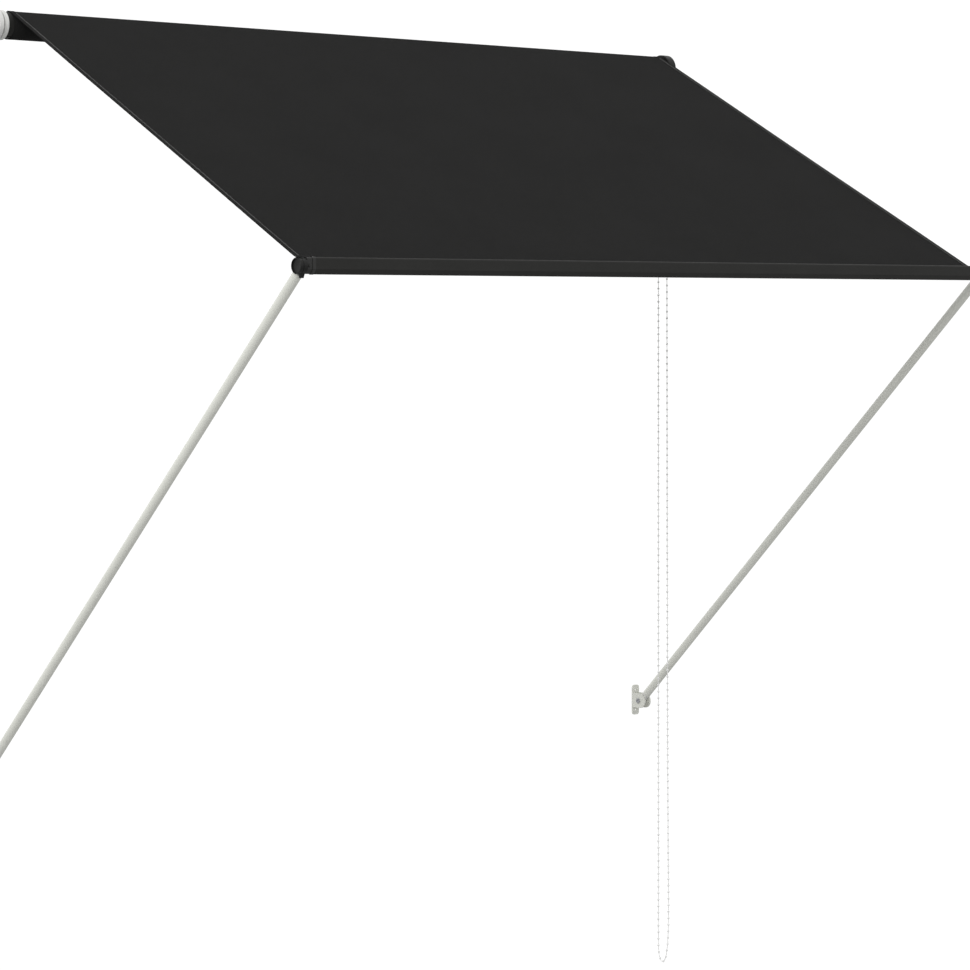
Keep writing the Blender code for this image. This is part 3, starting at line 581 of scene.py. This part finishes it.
def cloth_surface(x, s, depth):
    """Points of the cloth at x along the wall and s down from the roll, depth below its upper face.

    Before s = 0 it lies on the roll as an arc. After that it falls along the slope, and its distance from
    the roller's axis, square to the slope, eases from the arc's radius to FACE_R. It hangs lower by
    sag 4t(1-t)(0.1 + 0.9 sin(pi w)) and by the pucker, t being the share of its length and w the share of
    its width. It rises towards its left front corner by lift t, and by CORNER_RISE more over the last
    CORNER_REACH, within a fan that narrows to the corner. The right edge stands in at the roll and out at
    the bar, which moves x by w^2 (flare t - narrow).
    """
    settings = bpy.context.scene.awning_cloth
    x, s, depth = np.broadcast_arrays(x, s, depth)
    t = np.clip(s / CLOTH_LENGTH, 0, 1)
    w = np.clip((x - CLOTH_LEFT) / (CLOTH_RIGHT - CLOTH_LEFT), 0, 1)
    low = settings.sag * 4 * t * (1 - t) * (0.1 + 0.9 * np.sin(np.pi * w))
    left_over = CLOTH_LENGTH - s
    fan = smoothed(1 - (x - FLAP_TO) / (FAN_WIDTH + FAN_SPREAD * np.maximum(left_over, 0)))
    low = low - fan * (settings.lift * t + CORNER_RISE * smoothed(1 - left_over / CORNER_REACH))
    low = low + pucker(s, t, w, np.minimum(x - CLOTH_LEFT, CLOTH_RIGHT - x), settings.hem)
    radius = WRAP_R + PLY_GAP + settings.thickness
    out = radius + (FACE_R - radius) * smoothed(t / EASED_BY) - depth - low
    turn = SLOPE + np.minimum(s, 0) / radius
    flat = np.maximum(s, 0)
    y = ROLLER_Y - out * np.sin(turn) - flat * math.cos(SLOPE)
    z = ROLLER_Z + out * np.cos(turn) - flat * math.sin(SLOPE)
    return np.stack([x + w**2 * (settings.flare * t - settings.narrow), y, z], axis=-1)


def cloth_end(x):
    """Where the cloth ends, down from the roll: in the groove, cut back beside the bar, and over the hub."""
    in_groove = INTO_GROOVE * smoothed((x - BAR_LEFT - 0.5 * MM) / (1.5 * MM))
    over = OVER_COLLAR + OVER_HUB * smoothed((HUB_TO - x) / MM)
    return CLOTH_LENGTH - BAR_GAP + in_groove + over * smoothed((FLAP_TO + MM - x) / MM)


def follow_arms(obj):
    """Hangs the piece on the wall frame and gives it its own copy of its mesh; nothing moves it as the arms
    swing.
    """
    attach(obj, "wall_frame")
    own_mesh(obj)


def band(name, x, s, thick, top):
    """A closed strip of cloth: columns x, rows s, thick through, its upper face top below the cloth's own."""
    if s.ndim == 1:
        s = np.broadcast_to(s[:, None], (len(s), len(x)))
    upper = cloth_surface(x[None, :], s, top)
    lower = cloth_surface(x[None, :], s, top + thick)[:, ::-1]
    points = np.concatenate([upper, lower], axis=1)
    u = np.broadcast_to(np.concatenate([x, x[::-1]]), points.shape[:2])
    v = np.concatenate([s, s[:, ::-1]], axis=1)
    uv = np.stack([u, v], axis=-1).reshape(-1, 2)
    return outward(mesh_piece(name, points.reshape(-1, 3), strip_quads(*points.shape[:2]), uv=uv))


class AWNING_OT_cloth(bpy.types.Operator):
    """The spread cloth from the roll to the front bar, its side hems and their seams."""

    bl_idname = "awning.cloth"
    bl_label = "Cloth"

    def execute(self, context):
        settings = context.scene.awning_cloth
        side_width = 0.05
        edge = np.linspace(0, side_width, 51)
        middle = np.linspace(CLOTH_LEFT + side_width, CLOTH_RIGHT - side_width, 90)[1:-1]
        x = np.concatenate([CLOTH_LEFT + edge, middle, CLOTH_RIGHT - edge[::-1]])
        t = np.concatenate([np.linspace(0, 0.97, 300, endpoint=False), np.linspace(0.97, 1, 30)])
        start = -14 * MM
        s = start + t[:, None] * (cloth_end(x)[None, :] - start)
        sheet = band("cloth", x, s, settings.thickness, 0.0)
        paint(sheet, canvas())
        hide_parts("canopy")
        follow_arms(sheet)
        above = settings.thickness + PLY_GAP
        for side, edge_x, inward in zip(SIDES, (CLOTH_LEFT, CLOTH_RIGHT), (1, -1)):
            x = np.sort(edge_x + inward * np.linspace(0, settings.hem, 12))
            end = float(cloth_end(np.array(edge_x)))
            hem = band(f"{side}_hem", x, np.linspace(-12 * MM, end, 330), settings.thickness, -above)
            paint(hem, canvas())
            follow_arms(hem)
            for row in (0, 1):
                seam_x = edge_x + inward * (settings.hem - (1.3 + 1.3 * row) * MM)
                seam(f"{side}_seam_{row + 1}", seam_x, end, above, settings)
        return {"FINISHED"}


def seam(name, x, end, above, settings):
    """A row of stitches on both faces: each is a short thread that dips into the cloth at its ends."""
    starts = np.arange(4 * MM, end - 2 * settings.stitch, settings.stitch)
    t = np.linspace(0, 1, 5)
    a = np.linspace(0, 2 * np.pi, 6, endpoint=False)
    lift = np.sin(np.pi * t) ** 0.5
    radius = THREAD_R * (0.55 + 0.45 * lift)
    normal = np.array([0, -math.sin(SLOPE), math.cos(SLOPE)])
    threads = []
    for depth, out in ((-above, -1), (settings.thickness, 1)):
        s = starts[:, None] + t[None, :] * settings.stitch * 0.86
        middle = cloth_surface(np.full_like(s, x), s, depth + out * (0.20 * lift - 0.12) * MM)
        ring = np.cos(a)[:, None] * np.array([1.0, 0, 0]) + np.sin(a)[:, None] * normal
        threads.append((middle[:, :, None] + radius[None, :, None, None] * ring).reshape(-1, 3))
    points = np.concatenate(threads)
    size = len(t) * len(a)
    number = np.arange(len(points) // size)[:, None] * size
    quads = (ring_quads(len(t), len(a))[None] + number[:, :, None]).reshape(-1, 4)
    ring = np.arange(len(a))
    caps = [*(number + ring[::-1]), *(number + size - len(a) + ring)]
    made = outward(mesh_piece(name, points, quads, caps))
    paint(made, thread_with_painted_highlight())
    follow_arms(made)
    return made


class AWNING_OT_roll(bpy.types.Operator):
    """The turns of cloth left on the roller tube."""

    bl_idname = "awning.roll"
    bl_label = "Fabric roll"

    def execute(self, context):
        low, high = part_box("fabric_roll")
        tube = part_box("roller_tube")
        inner = (tube[1].z - tube[0].z) / 2 + PLY_GAP
        ply, turns, start, wound_r = 0.36 * MM, 1.96, 0.6, 22.8 * MM
        a = np.linspace(0, 2 * np.pi * turns, 240)
        radius = inner + (WRAP_R - inner - ply) * a / a[-1]
        middle = np.concatenate([radius, (radius + ply)[::-1]])
        turn = np.concatenate([a, a[::-1]]) + start
        x = np.linspace(low.x, high.x, 60)[:, None]
        ripple = 0.06 * MM * np.sin(x * 23 + turn) + 0.04 * MM * np.sin(x * 71 + 2 * turn)
        r = np.minimum(middle + ripple, WRAP_R)
        y, z = ROLLER_Y - r * np.sin(turn), ROLLER_Z + r * np.cos(turn)
        points = np.stack(np.broadcast_arrays(x, y, z), axis=-1)
        uv = np.stack(np.broadcast_arrays(x, turn * wound_r), axis=-1).reshape(-1, 2)
        roll = mesh_piece("roll", points.reshape(-1, 3), strip_quads(*points.shape[:2]), uv=uv)
        outward(roll)
        paint(roll, canvas())
        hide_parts("fabric_roll")
        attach(roll, "roller")
        return {"FINISHED"}


CORD_SIDES = 8
BALL_RINGS, BALL_SIDES = 7, 12
FIRST_BEAD = 5.5 * MM  # from the chain's start

# (y, z) from the roller's axis in mm, down the front strand and up the back one
CHAIN_ROUTE = (
    (-11.9, -9.5),
    (-11.9, -150),
    (-12.0, -400),
    (-12.4, -700),
    (-13.0, -1000),
    (-14.0, -1300),
    (-15.4, -1500),
    (-16.2, -1600),
    (-15.4, -1655),
    (-12.0, -1688),
    (-6.8, -1707),
    (1.0, -1713.7),
    (8.2, -1706),
    (11.2, -1690),
    (11.8, -1660),
    (11.8, -1560),
    (11.9, -1300),
    (11.9, -900),
    (11.9, -450),
    (11.9, -9.5),
)


def smooth_route(points, per_span):
    """A cubic through each span: P(1 - r) + Q r + m t(1-t)^2 h + n t^2(t-1) h, with r = t^2(3 - 2t).

    h is the span's length, and m and n are slopes weighted by the lengths of the spans that meet there.
    """
    spans = np.linalg.norm(np.diff(points, axis=0), axis=1)[:, None]
    slopes = np.diff(points, axis=0) / spans
    inner = (slopes[:-1] * spans[1:] + slopes[1:] * spans[:-1]) / (spans[:-1] + spans[1:])
    tangents = np.concatenate([slopes[:1], inner, slopes[-1:]])
    t = np.linspace(0, 1, per_span, endpoint=False)[None, :, None]
    rise = t * t * (3 - 2 * t)
    start, end, h = points[:-1, None], points[1:, None], spans[:, None]
    leave, arrive = tangents[:-1, None] * t * (1 - t) ** 2 * h, tangents[1:, None] * t * t * (t - 1) * h
    route = (start * (1 - rise) + end * rise + leave + arrive).reshape(-1, 3)
    return np.concatenate([route, points[-1:]])


def distance_along(path):
    """Distance of each point of a path from its start."""
    return np.concatenate([[0], np.cumsum(np.linalg.norm(np.diff(path, axis=0), axis=1))])


def evenly(path, step, start=0.0):
    """Points at even steps along a path."""
    lengths = distance_along(path)
    at = np.arange(start, lengths[-1], step)
    return np.stack([np.interp(at, lengths, path[:, i]) for i in range(3)], axis=-1)


class AWNING_OT_chain(bpy.types.Operator):
    """The bead chain: beads on a thin cord, hanging from the wheel in its housing."""

    bl_idname = "awning.chain"
    bl_label = "Bead chain"

    def execute(self, context):
        settings = context.scene.awning_chain
        low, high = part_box("bead_chain")
        route = np.array(CHAIN_ROUTE) * MM + [ROLLER_Y, ROLLER_Z]
        path = smooth_route(np.insert(route, 0, (low.x + high.x) / 2, axis=1), 40)
        line = evenly(path, settings.pitch / 4)
        tube = along(line, settings.cord / 2, CORD_SIDES)
        beads = evenly(path, settings.pitch, FIRST_BEAD)
        up = np.linspace(0, np.pi, BALL_RINGS + 2)[1:-1, None]
        a = np.linspace(0, 2 * np.pi, BALL_SIDES, endpoint=False)[None, :]
        r = settings.bead / 2
        ball = (r * np.sin(up) * np.cos(a), r * np.sin(up) * np.sin(a), r * np.cos(up))
        ball = np.stack(np.broadcast_arrays(*ball), axis=-1).reshape(-1, 3)
        bead_points, bead_quads = several(ball, ring_quads(BALL_RINGS, BALL_SIDES), beads)
        first = len(line) * CORD_SIDES
        number = first + np.arange(len(beads))[:, None] * len(ball)
        cord_ring, ring = np.arange(CORD_SIDES), np.arange(BALL_SIDES)
        caps = [cord_ring[::-1], first - CORD_SIDES + cord_ring]
        caps += [*(number + ring), *(number + len(ball) - BALL_SIDES + ring[::-1])]
        points = np.concatenate([tube.reshape(-1, 3), bead_points])
        quads = np.concatenate([ring_quads(len(line), CORD_SIDES), bead_quads[:, ::-1] + first])
        chain = mesh_piece("chain", points, quads, caps)
        paint(chain, bead_plastic())
        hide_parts("bead_chain")
        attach(chain, "wall_frame")
        return {"FINISHED"}


# Arms


class AWNING_OT_arms(bpy.types.Operator):
    """Both arm tubes, with their plastic ends."""

    bl_idname = "awning.arms"
    bl_label = "Arms"

    def execute(self, context):
        up = np.array([0.0, -math.sin(ARM_LEAN), math.cos(ARM_LEAN)])
        bore_r = 6.0 * MM
        lip = np.array([0, 0, 0.3 * MM, 0.8 * MM])
        for side in SIDES:
            low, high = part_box(f"{side}_arm_tube")
            foot = np.array([(low.x + high.x) / 2, PIVOT[1], PIVOT[2]])
            radius = (high.x - low.x) / 2
            start = (low.z - PIVOT[2] + radius * math.sin(ARM_LEAN)) / math.cos(ARM_LEAN)
            end = (high.z - PIVOT[2] - radius * math.sin(ARM_LEAN)) / math.cos(ARM_LEAN)
            outside = np.linspace(start + 20 * MM, end - 20 * MM, 12)
            inside = [end - 30 * MM, start + 30 * MM]
            s = np.concatenate([start + lip, outside, end - lip[::-1], inside])
            lip_r = np.array([bore_r, 6.9 * MM, 7.3 * MM, radius])
            outer_r = np.full(len(outside), radius)
            r = np.concatenate([lip_r, outer_r, lip_r[::-1], [bore_r, bore_r]])
            path = foot + s[:, None] * up
            a = np.linspace(0, 2 * np.pi, 64, endpoint=False)
            across = np.cross(up, [1.0, 0, 0])
            ring = np.cos(a)[:, None] * np.array([1.0, 0, 0]) + np.sin(a)[:, None] * across
            points = path[:, None] + r[:, None, None] * ring[None]
            quads = ring_quads(len(s), len(a), wrap_rows=True)
            tube = outward(mesh_piece(f"{side}_tube", points.reshape(-1, 3), quads))
            tube.data.set_sharp_from_angle(angle=math.radians(50))
            paint(tube, white_paint())
            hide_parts(f"{side}_arm_tube")
            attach(tube, f"{side}_arm")
        dress(["left_arm_knuckle", "right_arm_knuckle"], white_plastic())
        dress(["left_arm_eye", "right_arm_eye"], black_plastic())
        return {"FINISHED"}


class AWNING_OT_brackets(bpy.types.Operator):
    """Wall brackets of the roller and of the arms."""

    bl_idname = "awning.brackets"
    bl_label = "Brackets"

    def execute(self, context):
        dress([f"{side}_{what}_bracket" for side in SIDES for what in ("roller", "arm")], white_paint())
        return {"FINISHED"}


class AWNING_OT_bar(bpy.types.Operator):
    """Front bar with its plugs, screws and round hub caps."""

    bl_idname = "awning.bar"
    bl_label = "Front bar"

    def execute(self, context):
        dress(["front_bar"], dark_paint())
        ends = [f"{side}_{piece}" for side in SIDES for piece in ("bar_plug", "plug_screw")]
        dress(ends, charcoal_plastic())
        dress([*(f"{side}_hub_cap" for side in SIDES), "front_welt"], black_plastic())
        return {"FINISHED"}


class AWNING_OT_roller(bpy.types.Operator):
    """Roller tube with its end plugs and the white bearing cup."""

    bl_idname = "awning.roller"
    bl_label = "Roller"

    def execute(self, context):
        dress(["roller_tube"], dark_paint())
        dress(["right_end_plug", "roller_welt"], black_plastic())
        dress(["left_end_plug", "left_bearing_cup"], white_plastic())
        return {"FINISHED"}


class AWNING_OT_drive(bpy.types.Operator):
    """Chain wheel with its housing and cover."""

    bl_idname = "awning.drive"
    bl_label = "Chain drive"

    def execute(self, context):
        dress(["chain_wheel", "chain_housing", "chain_cover"], black_plastic())
        return {"FINISHED"}


class AWNING_OT_pins(bpy.types.Operator):
    """Axle pins, rivets and bolts."""

    bl_idname = "awning.pins"
    bl_label = "Pins and rivets"

    def execute(self, context):
        pins = [f"{side}_{pin}" for side in SIDES for pin in ("axle_pin", "pivot_rivet", "hub_bolt")]
        dress(pins, zinc())
        return {"FINISHED"}


WHITE = (1.0, 1.0, 1.0, 1.0)
BACKDROP = 1.05  # strength of the floor and the surround as the camera sees them
SIDE_LIGHT = 0.07  # how much brighter the surround is on the left, and darker on the right
FLOOR_R = 20.0
LAMP, LAMP_AIM = Vector((-3.8, -2.2, 1.7)), Vector((0.7, -0.5, -0.4))


class AWNING_OT_stage(bpy.types.Operator):
    """Floor, backdrop, lights and camera."""

    bl_idname = "awning.stage"
    bl_label = "Stage"

    def execute(self, context):
        settings = context.scene.awning_stage
        self.camera(context, settings)
        self.floor(settings)
        self.light(context, settings)
        return {"FINISHED"}

    def camera(self, context, settings):
        data = bpy.data.cameras.new("Camera")
        data.lens = settings.lens / MM
        data.sensor_width = 36
        data.shift_y = settings.shift
        data.clip_end = 100
        camera = bpy.data.objects.new("Camera", data)
        camera.location = settings.eye
        camera.rotation_euler = (math.radians(90), 0, -settings.heading)
        context.scene.collection.objects.link(camera)
        context.scene.camera = camera

    def floor(self, settings):
        """A level disc: the camera sees it white, and it lights the pieces from below only softly."""
        a = np.linspace(0, 2 * np.pi, 64, endpoint=False)
        centre = np.array([0.77, -0.45, settings.floor])
        points = centre + FLOOR_R * np.stack([np.cos(a), np.sin(a), 0 * a], axis=-1)
        floor = mesh_piece("floor", points, np.zeros((0, 4), int), [np.arange(len(a))])
        made = bpy.data.materials.new("Pale floor")
        made.use_nodes = True
        tree = made.node_tree
        shader = tree.nodes["Principled BSDF"]
        shader.inputs["Base Color"].default_value = (0.42, 0.42, 0.42, 1)
        shader.inputs["Roughness"].default_value = 0.9
        shader.inputs["Specular IOR Level"].default_value = 0.0
        pale = node(tree, "ShaderNodeEmission", {"Color": WHITE, "Strength": BACKDROP})
        seen = node(tree, "ShaderNodeLightPath").outputs["Is Camera Ray"]
        both = node(tree, "ShaderNodeMixShader", {0: seen, 1: shader.outputs[0], 2: pale.outputs[0]})
        tree.links.new(both.outputs[0], tree.nodes["Material Output"].inputs["Surface"])
        paint(floor, made)

    def light(self, context, settings):
        """A surround that is brighter on the left and white for the camera, and a soft lamp on the left."""
        world = bpy.data.worlds.new("Studio")
        world.use_nodes = True
        tree = world.node_tree
        surround = tree.nodes["Background"]
        surround.inputs["Color"].default_value = WHITE
        place = node(tree, "ShaderNodeTexCoord").outputs["Generated"]
        left = (-math.cos(settings.heading), math.sin(settings.heading), 0.0)
        side = node(tree, "ShaderNodeVectorMath", {0: place, 1: left}, operation="DOT_PRODUCT")
        strength = maths(tree, "MULTIPLY_ADD", side.outputs["Value"], SIDE_LIGHT, 1.0)
        tree.links.new(strength, surround.inputs["Strength"])
        backdrop = node(tree, "ShaderNodeBackground", {"Color": WHITE, "Strength": BACKDROP})
        seen = node(tree, "ShaderNodeLightPath").outputs["Is Camera Ray"]
        both = node(tree, "ShaderNodeMixShader", {0: seen, 1: surround.outputs[0], 2: backdrop.outputs[0]})
        tree.links.new(both.outputs[0], tree.nodes["World Output"].inputs["Surface"])
        context.scene.world = world
        context.scene.view_settings.view_transform = "Standard"
        data = bpy.data.lights.new("Key", "AREA")
        data.size = 2.4
        data.energy = 52.0
        lamp = bpy.data.objects.new("Key", data)
        lamp.location = LAMP
        lamp.rotation_euler = (LAMP - LAMP_AIM).to_track_quat("Z", "Y").to_euler()
        context.scene.collection.objects.link(lamp)


class AWNING_PT_panel(bpy.types.Panel):
    """Lists the awning's pieces."""

    bl_label = "Awning"
    bl_idname = "AWNING_PT_panel"
    bl_space_type = "VIEW_3D"
    bl_region_type = "UI"
    bl_category = "Awning"

    def draw(self, context):
        for settings in GROUPS:
            values = getattr(context.scene, settings)
            box = self.layout.box()
            for name in values.__annotations__:
                box.prop(values, name)
        for operator in OPERATORS:
            self.layout.operator(operator.bl_idname)


OPERATORS = (
    AWNING_OT_stage,
    AWNING_OT_chain,
    AWNING_OT_cloth,
    AWNING_OT_roll,
    AWNING_OT_arms,
    AWNING_OT_brackets,
    AWNING_OT_bar,
    AWNING_OT_roller,
    AWNING_OT_drive,
    AWNING_OT_pins,
)
GROUPS = {
    "awning_cloth": ClothSettings,
    "awning_chain": ChainSettings,
    "awning_finish": FinishSettings,
    "awning_stage": StageSettings,
}


def register():
    for cls in (*GROUPS.values(), *OPERATORS, AWNING_PT_panel):
        bpy.utils.register_class(cls)
    for name, cls in GROUPS.items():
        setattr(bpy.types.Scene, name, bpy.props.PointerProperty(type=cls))


def unregister():
    for name in GROUPS:
        delattr(bpy.types.Scene, name)
    for cls in (AWNING_PT_panel, *reversed(OPERATORS), *GROUPS.values()):
        bpy.utils.unregister_class(cls)


def main():
    register()
    for operator in OPERATORS:
        module, name = operator.bl_idname.split(".")
        getattr(getattr(bpy.ops, module), name)()


if __name__ == "__main__":
    main()
